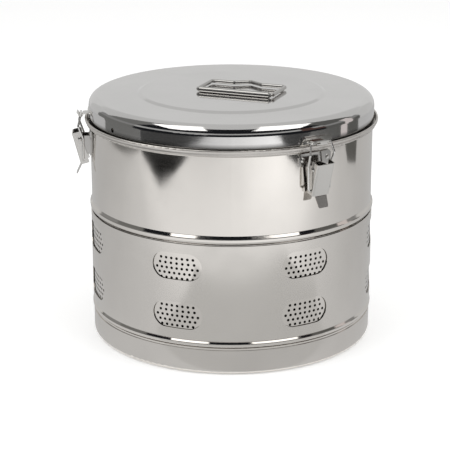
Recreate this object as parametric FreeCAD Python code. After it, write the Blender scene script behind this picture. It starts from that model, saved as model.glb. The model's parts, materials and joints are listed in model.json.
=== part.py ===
import FreeCAD, Part
import math
import os

# Sterilising drum: a round steel box with a perforated wall, a turning band that
# opens or covers the holes, a drop-on lid with a folding wire handle, and three
# over-centre latches. Sizes are in millimetres and angles in degrees. The origin
# is the middle of the underside, +Z is up, and the front of the drum faces -Y.

# Sheet, wire and running gaps
wall_sheet = 0.8
band_sheet = 0.6
latch_sheet = 1.0
running_gap = 0.3
side_gap = 0.2

# Shaping allowances: how far a cutter runs past a face, and the straight run that
# is left between two arcs that would otherwise meet
cut_margin = 3.0
arc_margin = 0.01

# Drum wall, from the base up
wall_radius = 145.0
wall_foot = 5.6
lower_bead_height = 31.3
lower_bead_half = 3.4
lower_bead_proud = 1.8
middle_bead_height = 138.8
middle_bead_half = 4.4
middle_bead_proud = 2.0
bead_bend = 1.0
shelf_height = 223.3
shelf_reach = 3.9
shelf_bend = 1.6
rim_rise = 6.1
hem_gap = 0.8
hem_depth = 3.0
hem_lean = 0.5

# Base pan
pan_skirt_height = 25.7
pan_corner = 5.0
pan_ring_inset = 27.0
pan_ring_width = 22.0
pan_ring_run = 3.0
pan_ring_rise = 1.6
pan_ring_bend = 2.0

# Perforated groups in the wall and the windows of the band
column_count = 7
first_column_bearing = -21.5
hole_diameter = 2.8
hole_row_pitch = 5.05
hole_rows = ((7, 33.6), (7, 36.0), (9, 42.8), (8, 37.1), (7, 33.1))
hole_group_heights = (58.6, 107.6)
window_heights = (59.6, 110.0)
window_width = 52.0
window_height = 27.4

# Turning band and its stop rivet
band_end_gap = 1.0
stop_bearing = 158.5
stop_height = 84.8
stop_shank_diameter = 3.0
stop_head_diameter = 6.0
stop_head_rise = 1.4
band_turn = 360.0 / column_count / 2

# Lid, its heights taken from the shelf that it stands on
lid_side_gap = 2.0
lid_seat_gap = 0.3
lid_depth = 28.2
lid_corner = 10.0
lid_ring_inset = 49.6
lid_ring_rise = 0.9
lid_panel_run = 4.0
lid_panel_rise = 2.5
lid_panel_bend = 3.0
vent_bearing = -52.5
vent_rise = 10.6
vent_diameter = 4.5

# Lid handle
handle_bearing = -21.2
handle_shift = 11.0
bail_length = 81.0
bail_reach = 41.0
bail_wire = 4.0
bail_corner = 3.4
kink_start = -16.2
kink_end = 14.6
kink_depth = 9.5
kink_bend = 4.0
bail_joint_gap = 1.0
strap_sheet = 0.6
strap_length = 74.0
strap_leaf = 11.0

# Latches. Reaches are measured outward from the wall, drops down from the hook.
latch_bearings = (33.5, 153.5, 273.5)
hook_reach = 9.2
hook_rise = 8.5
pivot_reach = 10.4
pivot_drop = 24.8
loop_pivot_reach = 7.6
loop_pivot_drop = 46.5
loop_wire = 2.2
hook_bar_gap = 0.55

# Keeper on the lid
keeper_width = 38.0
keeper_below = 4.0
keeper_above = 4.8
keeper_corner = 4.0
keeper_sheet = 1.0
tongue_width = 13.0
tongue_rise = 0.8
tongue_bend = 1.0
lip_rise = 2.2
lip_lean = 1.6

# Bracket on the wall
bracket_width = 38.0
bracket_top_drop = 10.8
bracket_bar_drop = 23.8
bracket_foot_drop = 42.8
bracket_corner = 4.0
ear_outer_half = 8.2
ear_end_radius = 2.8
rivet_spacing = 29.0
rivet_drop = 17.3
rivet_shank_diameter = 2.4
rivet_head_diameter = 4.8
rivet_head_rise = 1.1

# Lever
lever_width = 20.0
lever_depth = 9.0
lever_above_pivot = 7.5
lever_below_pivot = 26.0
lever_front_offset = 6.6
lever_tilt = 14.5
lever_bend = 1.3
tab_root_width = 14.0
tab_end_width = 11.0
tab_length = 12.5
tab_flare = 38.5
tab_bend = 2.0
tab_corner = 2.0
tab_overlap = 1.0
pivot_pin_diameter = 3.0
pivot_head_diameter = 4.8
pivot_head_rise = 0.9

# Wire loop between its pivot and the hook: half width, reach and drop of each bend
loop_pin_inset = 8.7
loop_pivot_half = 12.6
loop_shank_half = 12.9
loop_shank_reach = 7.3
loop_shank_drop = 22.8
loop_knee_half = 14.2
loop_knee_reach = 11.8
loop_knee_drop = 10.3
loop_bar_half = 11.8
loop_bend = 2.4

# Places that follow from the sizes above
rim_height = shelf_height + rim_rise
lid_radius = wall_radius + shelf_reach - wall_sheet - lid_side_gap
lid_ring_radius = lid_radius - lid_ring_inset
lid_edge_height = shelf_height + lid_depth
lid_panel_height = lid_edge_height + lid_panel_rise
hook_out = wall_radius + hook_reach
hook_height = shelf_height + hook_rise
pivot_out = wall_radius + pivot_reach
pivot_height = hook_height - pivot_drop
loop_pivot_out = wall_radius + loop_pivot_reach
loop_pivot_height = hook_height - loop_pivot_drop
keeper_bottom = hook_height - keeper_below
keeper_top = hook_height + keeper_above
bracket_top = hook_height - bracket_top_drop
bracket_bar_bottom = hook_height - bracket_bar_drop
bracket_bottom = hook_height - bracket_foot_drop
rivet_height = hook_height - rivet_drop

AXIS = FreeCAD.Vector(0, 0, 1)
ORIGIN = FreeCAD.Vector(0, 0, 0)


def profile_point(out, up):
    """A point of a side outline: outward from the axis, towards -Y, and up."""
    return FreeCAD.Vector(0, -out, up)


def rounded_path(points, bends):
    """Straight runs between points, with a tangent arc of each bend radius."""
    runs = []
    here = points[0]
    for before, corner, after, bend in zip(points, points[1:], points[2:], bends):
        into = (corner - before).normalize()
        away = (after - corner).normalize()
        turn = into.getAngle(away)
        if turn < 1e-6:
            continue
        setback = bend * math.tan(turn / 2)
        start = corner - into * setback
        end = corner + away * setback
        inward = (away - into).normalize()
        middle = corner + inward * (bend / math.cos(turn / 2) - bend)
        if (start - here).Length > 1e-6:
            runs.append(Part.LineSegment(here, start).toShape())
        runs.append(Part.Arc(start, middle, end).toShape())
        here = end
    if (points[-1] - here).Length > 1e-6:
        runs.append(Part.LineSegment(here, points[-1]).toShape())
    return runs


def strip_face(points, bends, thickness):
    """The cut face of a bent sheet whose middle line runs through the points."""
    normal = FreeCAD.Vector(1, 0, 0)
    sides = []
    for side in (0.5, -0.5):
        shift = thickness * side
        line = []
        offset_bends = []
        directions = [(b - a).normalize() for a, b in zip(points, points[1:])]
        for index, point in enumerate(points):
            before = directions[max(index - 1, 0)]
            after = directions[min(index, len(directions) - 1)]
            left_before = normal.cross(before)
            left_after = normal.cross(after)
            mitre = (left_before + left_after).normalize()
            line.append(point + mitre * (shift / mitre.dot(left_before)))
            if 0 < index < len(points) - 1:
                left_turn = normal.dot(before.cross(after)) > 0
                bend = bends[index - 1]
                offset_bends.append(bend - shift if left_turn else bend + shift)
        sides.append((line, offset_bends))
    edges = rounded_path(*sides[0])
    edges.append(Part.LineSegment(sides[0][0][-1], sides[1][0][-1]).toShape())
    edges.extend(rounded_path(*sides[1]))
    edges.append(Part.LineSegment(sides[0][0][0], sides[1][0][0]).toShape())
    return Part.Face(Part.Wire(Part.sortEdges(edges)[0]))


def turned(face):
    """A profile turned once round the drum's axis."""
    return face.revolve(ORIGIN, AXIS, 360)


def across(face, width):
    """A side outline given its width, half to each side."""
    moved = face.translated(FreeCAD.Vector(-width / 2, 0, 0))
    return moved.extrude(FreeCAD.Vector(width, 0, 0))


def at_bearing(shape, bearing):
    """A shape made at the front, turned to its place round the drum."""
    return shape.rotated(ORIGIN, AXIS, bearing)


def rounded_plate(width, bottom, top, corner, near, far):
    """A plate with rounded corners, facing -Y, between two distances out."""
    half = width / 2
    corners = [
        FreeCAD.Vector(0, -near, bottom),
        FreeCAD.Vector(half, -near, bottom),
        FreeCAD.Vector(half, -near, top),
        FreeCAD.Vector(-half, -near, top),
        FreeCAD.Vector(-half, -near, bottom),
        FreeCAD.Vector(0, -near, bottom),
    ]
    outline = Part.Wire(rounded_path(corners, [corner] * 4))
    return Part.Face(outline).extrude(FreeCAD.Vector(0, near - far, 0))


def ring(inner, outer, bottom, top):
    """A plain tube round the drum's axis."""
    height = top - bottom
    base = FreeCAD.Vector(0, 0, bottom)
    tube = Part.makeCylinder(outer, height, base, AXIS)
    return tube.cut(Part.makeCylinder(inner, height, base, AXIS))


def radial_pin(radius, near, far, side, up):
    """A round bar facing -Y, between two distances out."""
    start = FreeCAD.Vector(side, -near, up)
    return Part.makeCylinder(radius, far - near, start, FreeCAD.Vector(0, -1, 0))


def dome(radius, rise, centre, direction):
    """A domed rivet head, standing on centre."""
    sphere_radius = (radius * radius + rise * rise) / (2 * rise)
    half_angle = math.asin(radius / sphere_radius) / 2
    sphere_centre = centre - direction * (sphere_radius - rise)
    edge = centre + AXIS * radius
    tip = centre + direction * rise
    middle = sphere_centre + direction * (sphere_radius * math.cos(half_angle))
    middle = middle + AXIS * (sphere_radius * math.sin(half_angle))
    outline = [
        Part.Arc(edge, middle, tip).toShape(),
        Part.LineSegment(tip, centre).toShape(),
        Part.LineSegment(centre, edge).toShape(),
    ]
    return Part.Face(Part.Wire(outline)).revolve(centre, direction, 360)


def rod(points, bends, diameter):
    """Round wire bent along the points."""
    path = Part.Wire(rounded_path(points, bends))
    start = points[0]
    circle = Part.makeCircle(diameter / 2, start, points[1] - points[0])
    return path.makePipeShell([Part.Wire(circle)], True, False)


def bead(height, half, proud):
    """Middle-line stations of an outward bead, from its lower edge up."""
    line = wall_radius - wall_sheet / 2
    crown = half / 3
    return [
        profile_point(line, height - half),
        profile_point(line + proud, height - crown),
        profile_point(line + proud, height + crown),
        profile_point(line, height + half),
    ]


def hole_places():
    """Bearing and height of every hole in the drum wall."""
    for column in range(column_count):
        centre = first_column_bearing + column * 360.0 / column_count
        for group in hole_group_heights:
            for row, (count, span) in enumerate(hole_rows):
                up = group + (len(hole_rows) // 2 - row) * hole_row_pitch
                for index in range(count):
                    along = span * (index / (count - 1) - 0.5)
                    yield centre + math.degrees(along / wall_radius), up


def drum_wall():
    """The wall: one sheet with two beads, a shelf for the lid and a hemmed rim."""
    line = wall_radius - wall_sheet / 2
    half_sheet = wall_sheet / 2
    upstand = line + shelf_reach
    hem_out = upstand + wall_sheet + hem_gap
    rim_line = rim_height - half_sheet
    hem_fall = rim_line - (rim_height - hem_depth)
    half_turn = math.pi / 4 + math.atan(hem_lean / hem_fall) / 2
    rim_bend = (hem_out - upstand) / 2
    hem_bend = rim_bend / math.tan(half_turn)
    shelf_line = shelf_height - half_sheet
    stations = [profile_point(line, wall_foot)]
    stations += bead(lower_bead_height, lower_bead_half, lower_bead_proud)
    stations += bead(middle_bead_height, middle_bead_half, middle_bead_proud)
    stations += [
        profile_point(line, shelf_line),
        profile_point(upstand, shelf_line),
        profile_point(upstand, rim_line),
        profile_point(hem_out, rim_line),
        profile_point(hem_out - hem_lean, rim_line - hem_fall),
    ]
    bends = [bead_bend] * 8 + [shelf_bend, shelf_bend, rim_bend, hem_bend]
    wall = turned(strip_face(stations, bends, wall_sheet))
    inner = wall_radius - 2 * wall_sheet
    punch = Part.makeCylinder(
        hole_diameter / 2,
        3 * wall_sheet,
        FreeCAD.Vector(0, -inner, 0),
        FreeCAD.Vector(0, -1, 0),
    )
    cutters = []
    for bearing, up in hole_places():
        cutters.append(at_bearing(punch, bearing).translated(FreeCAD.Vector(0, 0, up)))
    cutters.append(at_bearing(rivet_bore(stop_shank_diameter, stop_height), stop_bearing))
    bore = rivet_bore(rivet_shank_diameter, rivet_height)
    for bearing in latch_bearings:
        for side in bracket_rivet_sides():
            cutters.append(at_bearing(bore, bearing + side))
    return wall.cut(cutters)


def base_pan():
    """The base: a shallow pan round the foot of the wall, stiffened by a raised ring."""
    half_sheet = wall_sheet / 2
    skirt = wall_radius + half_sheet
    raised = half_sheet + pan_ring_rise
    ring_outer = wall_radius - pan_ring_inset
    ring_inner = ring_outer - pan_ring_width
    stations = [
        profile_point(skirt, pan_skirt_height),
        profile_point(skirt, half_sheet),
        profile_point(ring_outer, half_sheet),
        profile_point(ring_outer - pan_ring_run, raised),
        profile_point(ring_inner + pan_ring_run, raised),
        profile_point(ring_inner, half_sheet),
        profile_point(0, half_sheet),
    ]
    bends = [pan_corner - half_sheet] + [pan_ring_bend] * 4
    return turned(strip_face(stations, bends, wall_sheet))


def band_inner():
    """Inner radius of the turning band."""
    return wall_radius + 2 * running_gap


def band_outer():
    """Outer radius of the turning band."""
    return band_inner() + band_sheet


def rivet_bore(diameter, up):
    """A cutter for a rivet's hole, facing -Y and running past the sheets on it."""
    near = wall_radius - cut_margin
    far = wall_radius + cut_margin
    return radial_pin(diameter / 2, near, far, 0, up)


def wall_rivet(shank_diameter, head_diameter, head_rise, far, up):
    """A rivet facing -Y, its tail domed inside the wall and its head at far."""
    near = wall_radius - wall_sheet
    radius = head_diameter / 2
    outward = FreeCAD.Vector(0, -1, 0)
    head = dome(radius, head_rise, profile_point(far, up), outward)
    tail = dome(radius, head_rise, profile_point(near, up), outward * -1)
    bottom = FreeCAD.Vector(0, 0, up - radius)
    tail = tail.common(Part.makeCylinder(near, head_diameter, bottom, AXIS))
    inset = head_rise / 2
    shank = radial_pin(shank_diameter / 2, near - inset, far + inset, 0, up)
    return head.fuse([shank, tail])


def band_stop_rivet():
    """The rivet in the wall that runs in the band's slot and limits its turn."""
    far = band_outer() + side_gap
    rivet = wall_rivet(
        stop_shank_diameter, stop_head_diameter, stop_head_rise, far, stop_height
    )
    return at_bearing(rivet, stop_bearing)


def sliding_band():
    """The turning band between the beads, with a window over each group of holes."""
    bottom = lower_bead_height + lower_bead_half + band_end_gap
    top = middle_bead_height - middle_bead_half - band_end_gap
    band = ring(band_inner(), band_outer(), bottom, top)
    near = band_inner() - cut_margin
    far = band_outer() + cut_margin
    cutters = []
    for column in range(column_count):
        bearing = first_column_bearing + column * 360.0 / column_count
        for up in window_heights:
            half = window_height / 2
            corner = half - arc_margin
            window = rounded_plate(window_width, up - half, up + half, corner, near, far)
            cutters.append(at_bearing(window, bearing))
    cutters.extend(stop_slot())
    return band.cut(cutters)


def stop_slot():
    """The band's slot: it lies ahead of the rivet by the band's whole turn."""
    half = stop_shank_diameter / 2 + running_gap
    near = band_inner() - cut_margin
    far = band_outer() + cut_margin
    end = radial_pin(half, near, far, 0, stop_height)
    outline = [
        profile_point(near, stop_height - half),
        profile_point(far, stop_height - half),
        profile_point(far, stop_height + half),
        profile_point(near, stop_height + half),
        profile_point(near, stop_height - half),
    ]
    section = Part.Face(Part.makePolygon(outline))
    middle = section.revolve(ORIGIN, AXIS, -band_turn)
    return [
        at_bearing(end, stop_bearing),
        at_bearing(end, stop_bearing - band_turn),
        at_bearing(middle, stop_bearing),
    ]


def lid_shell():
    """The lid: a skirt in the rim's gutter, a round corner and a raised panel."""
    half_sheet = wall_sheet / 2
    skirt = lid_radius - half_sheet
    edge = lid_edge_height - half_sheet
    panel = lid_panel_height - half_sheet
    stations = [
        profile_point(skirt, shelf_height + lid_seat_gap),
        profile_point(skirt, edge),
        profile_point(lid_ring_radius, edge + lid_ring_rise),
        profile_point(lid_ring_radius - lid_panel_run, panel),
        profile_point(0, panel),
    ]
    bends = [lid_corner - half_sheet, lid_panel_bend, lid_panel_bend]
    lid = turned(strip_face(stations, bends, wall_sheet))
    near = lid_radius - cut_margin
    up = shelf_height + vent_rise
    vent = radial_pin(vent_diameter / 2, near, near + 2 * cut_margin, 0, up)
    return lid.cut(at_bearing(vent, vent_bearing))


def place_handle(shape):
    """From the handle's own frame, with its strap along X, to its place on the lid."""
    moved = shape.translated(FreeCAD.Vector(handle_shift, 0, lid_panel_height))
    return moved.rotated(ORIGIN, AXIS, handle_bearing)


def strap_roll():
    """Radius of the strap's middle line round the wire."""
    return bail_wire / 2 + running_gap + strap_sheet / 2


def handle_strap():
    """The hinge strap: a sheet rolled round the wire, its leaf flat on the lid."""
    roll = strap_roll()
    axis_y = -bail_reach / 2
    half = strap_sheet / 2
    stations = [
        FreeCAD.Vector(0, axis_y + strap_leaf, half),
        FreeCAD.Vector(0, axis_y - roll, half),
        FreeCAD.Vector(0, axis_y - roll, half + 2 * roll),
        FreeCAD.Vector(0, axis_y + roll, half + 2 * roll),
        FreeCAD.Vector(0, axis_y + roll, strap_sheet + running_gap),
    ]
    face = strip_face(stations, [roll] * 3, strap_sheet)
    return place_handle(across(face, strap_length))


def handle_bail():
    """The wire handle, its two ends meeting inside the strap."""
    up = strap_roll() + strap_sheet / 2
    near = -bail_reach / 2
    far = bail_reach / 2
    half = bail_length / 2
    stations = [
        (bail_joint_gap / 2, near),
        (half, near),
        (half, far),
        (kink_end, far),
        ((kink_start + kink_end) / 2, far + kink_depth),
        (kink_start, far),
        (-half, far),
        (-half, near),
        (-bail_joint_gap / 2, near),
    ]
    bends = [bail_corner] * 2 + [kink_bend] * 3 + [bail_corner] * 2
    points = [FreeCAD.Vector(side, along, up) for side, along in stations]
    return place_handle(rod(points, bends, bail_wire))


def lid_keeper():
    """A keeper: a plate on the lid's skirt with a tongue hooked over the rim."""
    outer = lid_radius + keeper_sheet
    near = lid_radius - cut_margin
    far = outer + cut_margin
    plate = rounded_plate(keeper_width, keeper_bottom, keeper_top, keeper_corner, near, far)
    plate = plate.common(ring(lid_radius, outer, keeper_bottom, keeper_top))
    trough = loop_wire / 2 + hook_bar_gap + keeper_sheet / 2
    over_rim = hook_height + tongue_rise
    lip = hook_out + trough
    stations = [
        profile_point(lid_radius + keeper_sheet / 2, over_rim),
        profile_point(hook_out - trough, over_rim),
        profile_point(hook_out - trough, hook_height - trough),
        profile_point(lip, hook_height - trough),
        profile_point(lip, hook_height),
        profile_point(lip + lip_lean, hook_height + lip_rise),
    ]
    bends = [tongue_bend, trough - arc_margin, trough - arc_margin, tongue_bend]
    tongue = across(strip_face(stations, bends, keeper_sheet), tongue_width)
    return plate.fuse(tongue)


def bracket_rivet_sides():
    """How far round the drum a bracket's two rivets stand from its middle."""
    half = math.degrees(math.asin(rivet_spacing / 2 / wall_radius))
    return [-half, half]


def bracket_rivets():
    """All the bracket rivets, each square to the wall, through it and the plate."""
    far = wall_radius + latch_sheet
    rivet = wall_rivet(
        rivet_shank_diameter, rivet_head_diameter, rivet_head_rise, far, rivet_height
    )
    sides = bracket_rivet_sides()
    return [at_bearing(rivet, bearing + side) for bearing in latch_bearings for side in sides]


def latch_bracket():
    """A bracket: a T-shaped plate on the wall with two ears for the lever's pin."""
    outer = wall_radius + latch_sheet
    near = wall_radius - cut_margin
    far = outer + cut_margin
    stem_width = 2 * ear_outer_half
    bar = rounded_plate(
        bracket_width, bracket_bar_bottom, bracket_top, bracket_corner, near, far
    )
    stem = rounded_plate(stem_width, bracket_bottom, bracket_top, latch_sheet, near, far)
    plate = bar.fuse(stem)
    plate = plate.common(ring(wall_radius, outer, bracket_bottom, bracket_top))
    reach = ear_end_radius
    root = wall_radius + latch_sheet / 2
    pivot = profile_point(pivot_out, pivot_height)
    outline = [
        profile_point(root, bracket_bottom + latch_sheet),
        profile_point(pivot_out + reach, pivot_height - 2 * reach),
        profile_point(pivot_out + reach, pivot_height + reach),
        profile_point(root, pivot_height + reach),
    ]
    ear_edges = rounded_path(outline, [reach - arc_margin] * 2)
    ear_edges.append(Part.LineSegment(outline[-1], outline[0]).toShape())
    ear_face = Part.Face(Part.Wire(Part.sortEdges(ear_edges)[0]))
    ears = []
    for side in (-ear_outer_half, ear_outer_half - latch_sheet):
        ear = ear_face.translated(FreeCAD.Vector(side, 0, 0))
        ears.append(ear.extrude(FreeCAD.Vector(latch_sheet, 0, 0)))
    bore = Part.makeCylinder(
        pivot_pin_diameter / 2,
        lever_width,
        pivot - FreeCAD.Vector(lever_width / 2, 0, 0),
        FreeCAD.Vector(1, 0, 0),
    )
    bores = [bore]
    for side in bracket_rivet_sides():
        bores.append(at_bearing(rivet_bore(rivet_shank_diameter, rivet_height), side))
    return plate.fuse(ears).cut(bores)


def lever_frame(along, forward):
    """A point of the lever's side outline: along it from the pivot, and forward."""
    tilt = math.radians(lever_tilt)
    out = pivot_out + along * math.sin(tilt) + forward * math.cos(tilt)
    up = pivot_height + along * math.cos(tilt) - forward * math.sin(tilt)
    return profile_point(out, up)


def latch_lever():
    """The lever: a channel over the bracket's ears, ending in a flared thumb tab."""
    half_sheet = latch_sheet / 2
    back = lever_front_offset - lever_depth
    web = lever_front_offset - half_sheet
    half = lever_width / 2
    side = half - half_sheet
    ahead = lever_frame(0, 1) - lever_frame(0, 0)
    upward = lever_frame(1, 0) - lever_frame(0, 0)
    foot = lever_frame(-lever_below_pivot, 0)
    right = FreeCAD.Vector(1, 0, 0)
    section = [
        foot + ahead * back - right * side,
        foot + ahead * web - right * side,
        foot + ahead * web + right * side,
        foot + ahead * back + right * side,
    ]
    channel_length = lever_above_pivot + lever_below_pivot
    channel = channel_section(section, upward).extrude(upward * channel_length)
    tab = lever_tab(web)
    bores = []
    pivot_bore = pivot_pin_diameter / 2 + running_gap
    loop_bore = loop_wire / 2 + running_gap
    for out, up, radius in (
        (pivot_out, pivot_height, pivot_bore),
        (loop_pivot_out, loop_pivot_height, loop_bore),
    ):
        start = profile_point(out, up) - right * lever_width
        bores.append(Part.makeCylinder(radius, 2 * lever_width, start, right))
    return channel.fuse(tab).cut(bores)


def channel_section(corners, normal):
    """The U-shaped cut face of the lever's channel."""
    centre = (corners[0] + corners[3]) * 0.5
    outer = grown(corners, centre, normal, latch_sheet / 2)
    inner = grown(corners, centre, normal, -latch_sheet / 2)
    bend_out = lever_bend + latch_sheet / 2
    bend_in = lever_bend - latch_sheet / 2
    edges = rounded_path(outer, [bend_out] * 2)
    edges += rounded_path(inner, [bend_in] * 2)
    edges.append(Part.LineSegment(outer[0], inner[0]).toShape())
    edges.append(Part.LineSegment(outer[-1], inner[-1]).toShape())
    return Part.Face(Part.Wire(Part.sortEdges(edges)[0]))


def grown(corners, centre, normal, amount):
    """The channel's corner points moved outward by amount."""
    right = FreeCAD.Vector(1, 0, 0)
    ahead = (corners[1] - corners[0]).normalize()
    return [
        corners[0] - right * amount,
        corners[1] - right * amount + ahead * amount,
        corners[2] + right * amount + ahead * amount,
        corners[3] + right * amount,
    ]


def lever_tab(web):
    """The thumb tab, bent outward from the lever's lower edge and tapered."""
    flare = math.radians(tab_flare)
    root = -lever_below_pivot
    end_along = root - tab_length * math.cos(flare)
    end_forward = web + tab_length * math.sin(flare)
    stations = [
        lever_frame(root + tab_overlap, web),
        lever_frame(root - tab_overlap / 2, web),
        lever_frame(end_along, end_forward),
    ]
    strip = across(strip_face(stations, [tab_bend], latch_sheet), tab_root_width)
    right = FreeCAD.Vector(1, 0, 0)
    ahead = lever_frame(0, 1) - lever_frame(0, 0)
    top = lever_frame(root + tab_overlap, web - lever_depth)
    end = lever_frame(end_along, web - lever_depth)
    corners = [
        top - right * (tab_root_width / 2),
        end - right * (tab_end_width / 2),
        end + right * (tab_end_width / 2),
        top + right * (tab_root_width / 2),
    ]
    edges = rounded_path(corners, [tab_corner] * 2)
    edges.append(Part.LineSegment(corners[-1], corners[0]).toShape())
    outline = Part.Face(Part.Wire(Part.sortEdges(edges)[0]))
    return strip.common(outline.extrude(ahead * (lever_depth + tab_length)))


def lever_pin():
    """The pivot pin: a rivet through both ears and the lever's two sides."""
    right = FreeCAD.Vector(1, 0, 0)
    half = lever_width / 2 + side_gap
    pivot = profile_point(pivot_out, pivot_height)
    shank = Part.makeCylinder(pivot_pin_diameter / 2, 2 * half, pivot - right * half, right)
    radius = pivot_head_diameter / 2
    heads = [
        dome(radius, pivot_head_rise, pivot + right * half, right),
        dome(radius, pivot_head_rise, pivot - right * half, right * -1),
    ]
    return shank.fuse(heads)


def latch_loop():
    """The wire loop: pivots in the lever's sides, and its bar lies in the hook."""
    half_path = [
        (loop_pin_inset, loop_pivot_reach, loop_pivot_drop),
        (loop_pivot_half, loop_pivot_reach, loop_pivot_drop),
        (loop_shank_half, loop_shank_reach, loop_shank_drop),
        (loop_knee_half, loop_knee_reach, loop_knee_drop),
        (loop_bar_half, hook_reach, 0),
    ]
    left = [
        FreeCAD.Vector(-side, -wall_radius - reach, hook_height - drop)
        for side, reach, drop in half_path
    ]
    right = [FreeCAD.Vector(-point.x, point.y, point.z) for point in reversed(left)]
    return rod(left + right, [loop_bend] * (len(left) + len(right) - 2), loop_wire)


def save(name, shape):
    """Write one node and say what it holds."""
    if not shape.isValid():
        print("not valid:", name)
    shape.exportStep(os.path.join("parts", name + ".step"))
    print(name, len(shape.Solids), "solids", round(shape.Volume, 1), "mm3")


os.makedirs("parts", exist_ok=True)
save("drum_wall", drum_wall())
save("base_pan", base_pan())
save("sliding_band", sliding_band())
save("band_stop_rivet", band_stop_rivet())
save("lid_shell", lid_shell())
save("handle_strap", handle_strap())
save("handle_bail", handle_bail())
save("bracket_rivets", Part.makeCompound(bracket_rivets()))
for number, bearing in enumerate(latch_bearings, start=1):
    save(f"lid_keeper_{number}", at_bearing(lid_keeper(), bearing))
    save(f"latch_bracket_{number}", at_bearing(latch_bracket(), bearing))
    save(f"latch_lever_{number}", at_bearing(latch_lever(), bearing))
    save(f"lever_pin_{number}", at_bearing(lever_pin(), bearing))
    save(f"latch_loop_{number}", at_bearing(latch_loop(), bearing))
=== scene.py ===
# %% [markdown]
# # A sterilising drum in polished steel
# The drum's shape comes from its CAD model, which is loaded as a fixed frame of named parts.
# Its curved sheets already carry exact surface normals, so even a mirror finish looks smooth
# on them. What Blender adds is the steel itself, and a studio for the steel to reflect.
# Everything is in metres: the middle of the underside is the origin and +Z is up.

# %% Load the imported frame
import json
import math
import bmesh
import bpy
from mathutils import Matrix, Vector

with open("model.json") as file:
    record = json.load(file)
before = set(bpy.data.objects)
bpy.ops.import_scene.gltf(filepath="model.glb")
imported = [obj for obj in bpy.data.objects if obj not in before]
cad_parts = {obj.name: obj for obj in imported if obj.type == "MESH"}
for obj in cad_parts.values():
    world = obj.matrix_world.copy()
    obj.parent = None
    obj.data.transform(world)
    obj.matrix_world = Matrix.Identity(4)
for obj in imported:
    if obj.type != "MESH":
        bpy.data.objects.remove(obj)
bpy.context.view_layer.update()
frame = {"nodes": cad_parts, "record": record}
nodes = frame["nodes"]

# %% [markdown]
# ## The camera
# The photograph was taken from in front and a little above with a long lens, so the rims are
# flat ellipses. The camera stands 1.57 m in front of the drum's axis and 0.61 m up, and looks
# down by 0.31 radians. A small shift puts the axis a few pixels right of the middle.

# %% Camera
LOOK_DOWN = 0.31

camera_data = bpy.data.cameras.new("camera")
camera_data.sensor_width = 36.0
camera_data.lens = 125.0
camera_data.shift_x = -0.0143
camera = bpy.data.objects.new("camera", camera_data)
camera.location = (0.0, -1.56507, 0.61006)
camera.rotation_euler = (math.pi / 2 - LOOK_DOWN, 0.0, 0.0)
bpy.context.scene.collection.objects.link(camera)
bpy.context.scene.camera = camera
print("camera at", tuple(round(v, 3) for v in camera.location))

# %% [markdown]
# ## Writing materials as sums
# A node tree is easier to read as arithmetic. `Value` wraps one socket: adding or multiplying
# two values adds a Math node, also when a plain number stands on the left. `Finish` is one
# node tree being built, and its `node` method makes any other node from its type, its settings
# and what goes into its sockets. The four methods after it are nodes that come up more than
# once: a ramp of greys, a mix of two colours, a colour made brighter or darker, and how far a
# place is from a point.

# %% A small language for shader nodes
class Value:
    """One output socket, which takes part in sums."""

    def __init__(self, finish, socket):
        self.finish = finish
        self.socket = socket

    def maths(self, operation, first, second):
        return self.finish.node("ShaderNodeMath", {"operation": operation}, {0: first, 1: second})

    def __add__(self, other):
        return self.maths("ADD", self, other)

    def __radd__(self, other):
        return self.maths("ADD", other, self)

    def __sub__(self, other):
        return self.maths("SUBTRACT", self, other)

    def __rsub__(self, other):
        return self.maths("SUBTRACT", other, self)

    def __mul__(self, other):
        return self.maths("MULTIPLY", self, other)

    def __rmul__(self, other):
        return self.maths("MULTIPLY", other, self)

    def or_larger(self, other):
        return self.maths("MAXIMUM", self, other)

    def clamp(self):
        return self.finish.node("ShaderNodeClamp", None, {"Value": self})


class Finish:
    """A node tree being built: a material's, or the world's."""

    def __init__(self, tree):
        self.tree = tree

    def feed(self, socket, value):
        if isinstance(value, Value):
            self.tree.links.new(value.socket, socket)
        else:
            socket.default_value = value

    def node(self, kind, settings=None, inputs=None, output=0):
        made = self.tree.nodes.new(kind)
        for name, value in (settings or {}).items():
            setattr(made, name, value)
        for name, value in (inputs or {}).items():
            self.feed(made.inputs[name], value)
        return Value(self, made.outputs[output])

    def ramp(self, value, stops):
        """A grey for each value, from a list of (position, grey)."""
        made = self.node("ShaderNodeValToRGB", None, {"Fac": value})
        elements = made.socket.node.color_ramp.elements
        for position, _ in stops[2:]:
            elements.new(position)
        for element, (position, grey) in zip(elements, stops):
            element.position = position
            element.color = (grey, grey, grey, 1.0)
        return made

    def mix(self, share, first, second):
        """A colour between two, where a Mix node keeps its colours at sockets 6, 7 and 2."""
        return self.node(
            "ShaderNodeMix", {"data_type": "RGBA"}, {0: share, 6: first, 7: second}, 2
        )

    def scaled(self, colour, factor):
        return self.node(
            "ShaderNodeVectorMath", {"operation": "SCALE"}, {0: colour, "Scale": factor}
        )

    def distance(self, place, point):
        return self.node(
            "ShaderNodeVectorMath", {"operation": "DISTANCE"}, {0: place, 1: point}, "Value"
        )

    def place(self):
        return self.node("ShaderNodeTexCoord", None, None, "Object")


print("shader sums ready")

# %% [markdown]
# ## The studio
# Polished steel has almost no look of its own: it shows the room. The photograph's drum stands
# on a white table in a dark room, with a pale backdrop behind it and two lamp banks above. The
# lid's rounded corner shows the dark room, its flat top shows the backdrop, and the skirt and
# the wall show the table. So the studio has those same things. The first is a pale world. It
# lights the drum softly from everywhere, a little less brightly than the camera and the mirror
# reflections see it, so that the background is white while the steel keeps its greys.

# %% The pale world
world = bpy.data.worlds.new("studio")
world.use_nodes = True
bpy.context.scene.world = world
sky = Finish(world.node_tree)
background = world.node_tree.nodes["Background"]


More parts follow.
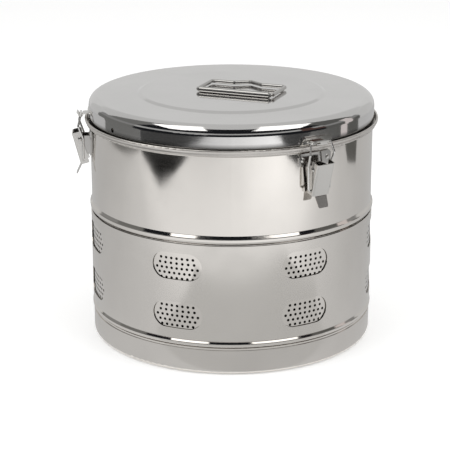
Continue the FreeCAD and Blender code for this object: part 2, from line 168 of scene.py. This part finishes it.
def seen_directly(finish):
    """One for camera, glossy and transmission rays, and nought for the light on things."""
    path = finish.tree.nodes.new("ShaderNodeLightPath")
    camera_ray, glossy_ray, transmission_ray = [
        Value(finish, path.outputs[f"Is {kind} Ray"])
        for kind in ("Camera", "Glossy", "Transmission")
    ]
    return camera_ray.or_larger(glossy_ray).or_larger(transmission_ray)


WORLD_LIGHT = 0.80
sky.feed(background.inputs["Color"], (1.0, 1.0, 1.0, 1.0))
sky.feed(background.inputs["Strength"], seen_directly(sky) * (1.0 - WORLD_LIGHT) + WORLD_LIGHT)
print("world light", WORLD_LIGHT)


# %% [markdown]
# ## The floor
# A catalogue photograph has no horizon: floor and background are the same white. The floor is a
# very wide disc of matt paint, so it takes the drum's soft shadow, and a small glow that only
# the camera and reflections see lifts it to the background's white.

# %% The pale floor
def link(name, shape, material):
    """A finished bmesh becomes an object with one material."""
    mesh = bpy.data.meshes.new(name)
    shape.to_mesh(mesh)
    shape.free()
    made = bpy.data.objects.new(name, mesh)
    bpy.context.scene.collection.objects.link(made)
    mesh.materials.append(material)
    return made


FLOOR_LIFT = 0.23
FLOOR_RADIUS = 30.0

floor_paint = bpy.data.materials.new("floor_paint")
floor_paint.use_nodes = True
floor_tree = Finish(floor_paint.node_tree)
floor_shader = floor_paint.node_tree.nodes["Principled BSDF"]
floor_shader.inputs["Base Color"].default_value = (0.93, 0.93, 0.925, 1.0)
floor_shader.inputs["Roughness"].default_value = 0.6
floor_shader.inputs["Emission Strength"].default_value = 1.0
dark = (0.0, 0.0, 0.0, 1.0)
lift = (FLOOR_LIFT, FLOOR_LIFT, FLOOR_LIFT, 1.0)
floor_tree.feed(
    floor_shader.inputs["Emission Color"], floor_tree.mix(seen_directly(floor_tree), dark, lift)
)

shape = bmesh.new()
bmesh.ops.create_circle(shape, cap_ends=True, radius=FLOOR_RADIUS, segments=64)
link("floor", shape, floor_paint)
print("floor radius", FLOOR_RADIUS, "m")


# %% [markdown]
# ## The room
# The room is a set of curved screens two metres out that only reflections see, so they throw no
# shade on the drum or the floor. Each is an upright outline swept round the drum between two
# bearings, which are counted in degrees from the front towards the drum's right-hand side in
# the picture. In front the room is black, at the sides dark grey, and behind it is pale. A
# brown panel and a pale post on the right give the patches on the lid there, and a grey card
# keeps the thumb tab of the front latch from going black. A paler band runs round the dark
# screens at one height, so that the lid's flat top isn't black when it is seen from behind.

# %% The room, seen only in reflections
def glow(name, colour, strength=1.0):
    """A material of one plain brightness, whatever the light."""
    made = bpy.data.materials.new(name)
    made.use_nodes = True
    tree = made.node_tree
    tree.nodes.remove(tree.nodes["Principled BSDF"])
    emission = tree.nodes.new("ShaderNodeEmission")
    emission.inputs["Color"].default_value = (*colour, 1.0)
    emission.inputs["Strength"].default_value = strength
    tree.links.new(emission.outputs[0], tree.nodes["Material Output"].inputs["Surface"])
    return made


def only_reflected(made):
    """Takes an object out of everything but glossy reflections."""
    made.visible_camera = False
    made.visible_diffuse = False
    made.visible_transmission = False
    made.visible_volume_scatter = False
    made.visible_shadow = False


def screen(name, outline, start, end, material):
    """An upright outline of (distance, height) swept round the drum between two bearings."""
    shape = bmesh.new()
    first = math.radians(start)
    points = [
        shape.verts.new((out * math.sin(first), -out * math.cos(first), up))
        for out, up in outline
    ]
    edges = [shape.edges.new(pair) for pair in zip(points, points[1:])]
    bmesh.ops.spin(
        shape,
        geom=points + edges,
        axis=(0.0, 0.0, 1.0),
        cent=(0.0, 0.0, 0.0),
        angle=math.radians(end - start),
        steps=max(4, round((end - start) / 3)),
    )
    only_reflected(link(name, shape, material))


black = glow("black_panel", (0.010, 0.011, 0.013))
left_grey = glow("grey_left", (0.165, 0.165, 0.16))
right_grey = glow("grey_right", (0.105, 0.105, 0.10))
brown = glow("brown_card", (0.075, 0.045, 0.040))
post = glow("pale_post", (0.62, 0.57, 0.56))
backdrop_grey = glow("pale_backdrop", (0.645, 0.645, 0.64))
card_grey = glow("pale_card", (0.32, 0.32, 0.315))
window_grey = glow("window_band", (0.40, 0.40, 0.395))
window_side = glow("window_side", (0.24, 0.24, 0.237))
side_grey = glow("pale_sides", (0.56, 0.56, 0.555))

# How far out the screens stand: the walls, what hangs in front of them, and what is behind
WALL, IN_FRONT, NEAREST, BEHIND = 2.0, 1.98, 1.97, 2.01
# Heights where the paler band starts and ends, and where the backdrop ends
BAND_LOW, BAND_TOP, BACKDROP_TOP = 0.54, 0.985, 1.15
# Bearings where the dark room starts and ends, and where its greys meet the black
ROOM_LEFT, BLACK_LEFT, BLACK_RIGHT, ROOM_RIGHT = -126, -80, 76, 118
OVERHEAD_LEFT, OVERHEAD_RIGHT = -117, 112

low = [(WALL, 0.0), (WALL, BAND_LOW)]
window = [(WALL, BAND_LOW), (WALL, BAND_TOP)]
slope = [(1.9, 1.8), (1.5, 2.5), (1.05, 2.75)]
overhead = [(WALL, BAND_TOP)] + slope
backdrop = [(WALL, 0.0), (WALL, BACKDROP_TOP)]
side = [(BEHIND, 0.0), (BEHIND, BACKDROP_TOP)]

dark_parts = (
    ("low", low, ROOM_LEFT, ROOM_RIGHT),
    ("overhead", overhead, OVERHEAD_LEFT, OVERHEAD_RIGHT),
)
for part, outline, left_end, right_end in dark_parts:
    screen(part + "_left", outline, left_end, BLACK_LEFT, left_grey)
    screen(part + "_front", outline, BLACK_LEFT, BLACK_RIGHT, black)
    screen(part + "_right", outline, BLACK_RIGHT, right_end, right_grey)
screen("window_left", window, ROOM_LEFT, BLACK_LEFT, window_side)
screen("window_front", window, BLACK_LEFT, BLACK_RIGHT, window_grey)
screen("window_right", window, BLACK_RIGHT, ROOM_RIGHT, window_side)
screen("brown_panel", [(IN_FRONT, 0.3), (IN_FRONT, 1.45)], 54, 76, brown)
screen("pale_card", [(NEAREST, 0.75), (NEAREST, 1.15)], 66, 77, card_grey)
screen("pale_post", [(IN_FRONT, 0.0), (IN_FRONT, 1.35)], 97, 107, post)
screen("side_right", side, OVERHEAD_RIGHT, 150, side_grey)
screen("backdrop", backdrop, 150, 212, backdrop_grey)
screen("side_left", side, 212, 243, side_grey)
screen("overhead_back", [(WALL, BACKDROP_TOP)] + slope, OVERHEAD_RIGHT, 243, side_grey)
screen("ceiling", [slope[-1], (0.0, 2.9)], -180, 180, side_grey)
print("room in place")

# %% [markdown]
# ## The table
# The drum's upright wall mirrors the table in front of it: the lower a place on the wall, the
# nearer the piece of table that it shows. So a table that grows brighter with the distance makes
# a wall that grows brighter towards the rim; the table's darker part near the drum is painted
# shade, the drum's own shadow on the table. A ring-shaped sheet just above the floor does this
# with a ramp on its Object coordinates. One round patch of it is a little brighter and another a
# little darker, as in the photograph. Reflections alone see it, so the floor itself stays white.

# %% The table as reflections show it
TABLE_UP = 0.0005
TABLE_INNER, TABLE_OUTER = 0.1475, 12.0
RAMP_START, RAMP_PER_METRE = 0.3, 0.8

table = glow("table_glow", (1.0, 1.0, 1.0))
table_tree = Finish(table.node_tree)
table_place = table_tree.place()
back_to_front = table_tree.node("ShaderNodeSeparateXYZ", None, {0: table_place}, "Y")
# painted shade: the ramp is darkest near the drum, where the drum's shadow lies on the table
shade_gradient = table_tree.ramp(
    (RAMP_START - back_to_front) * RAMP_PER_METRE,
    [
        (0.0, 0.50), (0.24, 0.56), (0.35, 0.63), (0.44, 0.68),
        (0.56, 0.87), (0.68, 0.92), (0.80, 0.94), (0.96, 0.94),
    ],
)
from_bright = table_tree.distance(table_place, (0.50, -0.75, 0.0))
from_dim = table_tree.distance(table_place, (-0.45, -1.05, 0.0))
bright = table_tree.ramp(from_bright, [(0.0, 1.0), (0.42, 0.0)])
dim = table_tree.ramp(from_dim, [(0.1, 1.0), (0.75, 0.0)])
table_tree.feed(
    table.node_tree.nodes["Emission"].inputs["Color"],
    table_tree.scaled(shade_gradient, 1.0 + bright * 0.2 - dim * 0.24),
)
screen("table", [(TABLE_INNER, TABLE_UP), (TABLE_OUTER, TABLE_UP)], -180, 180, table)
print("table from", TABLE_INNER, "to", TABLE_OUTER, "m")

# %% [markdown]
# ## Cloths on the table
# The dark funnel under the rim, the dark ends of the lid's skirt and the dark bars on the right
# are what lies and stands beyond the table in the photograph. Here flat cloths with the outlines
# of those shapes lie on the table, each a hair above the one below. The large dark ones fade
# with the distance from the drum. A grey sheet right in front is painted shadow: the drum's own
# shadow on the table, which gives the band and the base their quieter grey in reflections.

# %% Mat and cloths
DRUM_SHADOW_UP, CLOTH_UP, STRIP_UP = 0.001, 0.002, 0.003


def cloth(name, corners, height, material):
    """A flat many-sided sheet at one height."""
    shape = bmesh.new()
    shape.faces.new([shape.verts.new((x, y, height)) for x, y in corners])
    only_reflected(link(name, shape, material))


dark_cloth = glow("dark_cloth", (1.0, 1.0, 1.0))
cloth_tree = Finish(dark_cloth.node_tree)
from_drum = cloth_tree.distance(cloth_tree.place(), (0.0, 0.0, 0.0))
faded = cloth_tree.ramp(
    from_drum * 0.5, [(0.44, 0.010), (0.50, 0.055), (0.66, 0.055), (0.80, 0.012)]
)
cloth_tree.feed(dark_cloth.node_tree.nodes["Emission"].inputs["Color"], faded)
# painted shadow: a grey sheet where the drum's shadow lies on the table in front
drum_shadow_sheet = glow("painted_drum_shadow", (0.55, 0.55, 0.545))

drum_shadow_corners = [
    (-0.17, -0.17), (-0.19, -0.42), (0.0, -0.435), (0.30, -0.42),
    (0.32, -0.20), (0.16, -0.12), (0.0, -0.15),
]
left_corners = [
    (-0.88, -0.30), (-0.77, -0.38), (-0.62, -0.46), (-0.55, -0.67),
    (-0.48, -0.86), (-0.33, -1.04), (-0.18, -1.20), (0.0, -1.30),
    (0.0, -2.2), (-1.2, -1.9), (-2.0, -1.0), (-2.2, -0.60),
]
right_corners = [
    (0.0, -2.2), (0.0, -1.30), (0.30, -1.24), (0.52, -1.06),
    (0.62, -0.84), (0.62, -0.70), (0.68, -0.55), (0.74, -0.56),
    (0.88, -0.50), (2.1, -1.1), (1.2, -1.9),
]
grey_left_corners = [(-0.89, 0.37), (-0.89, -0.30), (-2.2, -0.60), (-2.4, 0.2), (-2.2, 1.1)]
grey_right_corners = [
    (0.88, -0.50), (0.93, -0.20), (0.93, 0.10), (0.81, 0.13), (0.74, 0.28),
    (0.90, 0.40), (2.3, 1.1), (2.4, 0.0), (2.1, -1.1),
]
strip_corners = [(0.95, 0.00), (0.95, 0.13), (2.0, 0.41), (2.0, 0.11)]
cloth("drum_shadow_sheet", drum_shadow_corners, DRUM_SHADOW_UP, drum_shadow_sheet)
cloth("cloth_left", left_corners, CLOTH_UP, dark_cloth)
cloth("cloth_right", right_corners, CLOTH_UP, dark_cloth)
cloth("grey_cloth_left", grey_left_corners, CLOTH_UP, left_grey)
cloth("grey_cloth_right", grey_right_corners, CLOTH_UP, right_grey)
cloth("pale_strip", strip_corners, STRIP_UP, post)
print("mat and cloths in place")

# %% [markdown]
# ## The lamps
# The two white strips on the lid's rounded corner, and the white lines on the beads, are the
# mirror images of two large flat lamp banks overhead, with a dark gap between them. The banks
# are bright sheets that only reflections see. Two soft area lamps do the lighting, and they are
# kept out of reflections.

# %% Lamp banks and soft lamps
LAMPS_UP = 1.5
LAMP_SIZE, LAMP_POWER = 0.9, 6.0
DRUM_MIDDLE = Vector((0.0, 0.0, 0.12))

lamp = glow("lamp_bank", (1.0, 0.99, 0.97), 1.6)
left_bank = [
    (-0.24, 0.14), (-0.36, -0.60), (-0.46, -1.15),
    (-1.10, -1.16), (-1.30, -0.9), (-0.98, 0.05),
]
right_bank = [
    (0.24, 0.14), (0.90, 0.16), (1.50, -0.85),
    (1.05, -1.10), (0.42, -1.20), (0.36, -0.60),
]
cloth("bank_left", left_bank, LAMPS_UP, lamp)
cloth("bank_right", right_bank, LAMPS_UP, lamp)


def soft_lamp(name, x, y):
    """A square lamp that looks at the drum."""
    data = bpy.data.lights.new(name, "AREA")
    data.shape = "SQUARE"
    data.size = LAMP_SIZE
    data.energy = LAMP_POWER
    made = bpy.data.objects.new(name, data)
    made.location = (x, y, LAMPS_UP)
    towards = DRUM_MIDDLE - Vector((x, y, LAMPS_UP))
    made.rotation_euler = towards.to_track_quat("-Z", "Y").to_euler()
    made.visible_glossy = False
    made.visible_camera = False
    bpy.context.scene.collection.objects.link(made)


soft_lamp("lamp_left", -0.8, -0.6)
soft_lamp("lamp_right", 0.8, -0.6)
print("lamps lit,", LAMP_POWER, "W each")

# %% [markdown]
# ## Polished sheet
# Stainless sheet is a metal with a pale, slightly warm colour. Polishing leaves very fine lines
# that follow the turning of the drum, soft cloudy patches where the buffing wheel pressed
# harder, and a faint waviness that bends straight reflections. The lines are a noise squeezed
# along the height, the clouds and the waves are two slower noises, and roughness and a weak
# bump carry all three, while the colour hardly changes. The sharpness of the studio's edges on
# the sheet shows whether the roughness is right: sharp on the lid and the wall, soft on the
# band and the base.
#
# Where the lid's skirt dips into the rim, the two sheets face each other and see mostly each
# other. There the seam setting paints shade into the colour of the last few millimetres and dulls
# them: it gives two heights, the first without effect and the second with the whole effect, then
# the darkest share of the colour and the added roughness.

# %% The steel
CLOUD_TINT = 0.955
CLOUD_STOPS = [(0.38, 0.0), (0.66, 1.0)]
LINE_DULLING = 0.25


def steel(name, colour, roughness, cloud, line_scale, line_depth, wave_depth, seam_shade=None):
    """Polished or satin stainless steel, with polishing lines round the drum."""
    material = bpy.data.materials.new(name)
    material.use_nodes = True
    finish = Finish(material.node_tree)
    shader = material.node_tree.nodes["Principled BSDF"]
    place = finish.place()
    squeezed = finish.node(
        "ShaderNodeMapping", None, {"Vector": place, "Scale": (1.0, 1.0, line_scale)}
    )

    def noise(at, scale, detail, rough):
        return finish.node(
            "ShaderNodeTexNoise",
            None,
            {"Vector": at, "Scale": scale, "Detail": detail, "Roughness": rough},
        )

    lines = noise(squeezed, 18.0, 6.0, 0.7)
    clouds = noise(place, 14.0, 4.0, 0.55)
    wave = noise(place, 5.0, 1.0, 0.4)
    patch = finish.ramp(clouds, CLOUD_STOPS)
    tinted = [channel * CLOUD_TINT for channel in colour]
    shade = finish.mix(patch, (*colour, 1.0), (*tinted, 1.0))
    dull = roughness + cloud * patch + LINE_DULLING * cloud * lines
    # painted shade: towards the gap between lid and rim the colour is darkened and the roughness
    # raised
    if seam_shade:
        free, full, darkest_shade, duller = seam_shade
        up = finish.node("ShaderNodeSeparateXYZ", None, {0: place}, "Z")
        inside = ((up - free) * (1.0 / (full - free))).clamp()
        shade = finish.scaled(shade, 1.0 + (darkest_shade - 1.0) * inside)
        dull = dull + duller * inside
    finish.feed(shader.inputs["Base Color"], shade)
    finish.feed(shader.inputs["Metallic"], 1.0)
    finish.feed(shader.inputs["Roughness"], dull)
    height = lines * line_depth + wave * wave_depth
    bump = finish.node(
        "ShaderNodeBump", None, {"Height": height, "Strength": 1.0, "Distance": 1.0}
    )
    finish.feed(shader.inputs["Normal"], bump)
    return material


# Each finish: colour, roughness, cloud, line scale, line depth and wave depth
table_of_steels = {
    "polished_body": ((0.84, 0.806, 0.765), 0.045, 0.05, 40.0, 2.0e-6, 6.0e-5),
    "polished_lid": ((0.80, 0.79, 0.782), 0.055, 0.05, 40.0, 2.0e-6, 4.0e-5),
    "satin_band": ((0.785, 0.755, 0.718), 0.13, 0.08, 60.0, 4.0e-6, 5.0e-5),
    "satin_base": ((0.765, 0.735, 0.70), 0.17, 0.08, 60.0, 5.0e-6, 5.0e-5),
    "latch_steel": ((0.74, 0.725, 0.70), 0.16, 0.08, 8.0, 2.0e-6, 2.0e-5),
    "keeper_steel": ((0.72, 0.705, 0.68), 0.06, 0.05, 8.0, 1.0e-6, 2.0e-5),
    # painted shade: the next three are the same steel darkened, for the shade and dark
    # reflections on the brackets and the handle
    "shaded_bracket_steel": ((0.50, 0.49, 0.475), 0.10, 0.06, 8.0, 1.0e-6, 2.0e-5),
    "handle_steel": ((0.54, 0.53, 0.515), 0.10, 0.06, 8.0, 1.0e-6, 1.0e-5),
    "shaded_bail_steel": ((0.56, 0.55, 0.535), 0.08, 0.05, 8.0, 1.0e-6, 1.0e-5),
    "wire_steel": ((0.84, 0.83, 0.81), 0.16, 0.06, 8.0, 3.0e-6, 1.0e-5),
    "rivet_steel": ((0.78, 0.765, 0.74), 0.12, 0.06, 8.0, 3.0e-6, 1.0e-5),
}
# painted shade in the gap between the lid's skirt and the rim: start height, full height, darkest
# share of the colour, added roughness
seam_shades = {
    "polished_body": (0.2215, 0.2240, 0.92, 0.24),
    "polished_lid": (0.2345, 0.2305, 0.30, 0.06),
}
finishes = {
    name: steel(name, *settings, seam_shade=seam_shades.get(name))
    for name, settings in table_of_steels.items()
}
print("finishes:", ", ".join(finishes))

# %% [markdown]
# ## Which piece gets which steel
# The CAD record names a finish for every piece. Three kinds of piece get a finer choice here:
# the keepers are cut from the lid's polished sheet, and the latch brackets and the wire of the
# handle get darker copies of the same steel, which is painted shade on them.

# %% Dress the pieces
finer = {
    "lid_keeper": "keeper_steel",
    "latch_bracket": "shaded_bracket_steel",
    "handle_bail": "shaded_bail_steel",
}
for entry in frame["record"]["subparts"]:
    name = entry["node"]
    finish_name = entry["material_slot"]
    for start, better in finer.items():
        if name.startswith(start):
            finish_name = better
    nodes[name].material_slots[0].material = finishes[finish_name]

# %% [markdown]
# ## Colours as written
# The Standard view keeps a colour as it was typed, which suits a plain catalogue picture.

# %% View
bpy.context.scene.view_settings.view_transform = "Standard"
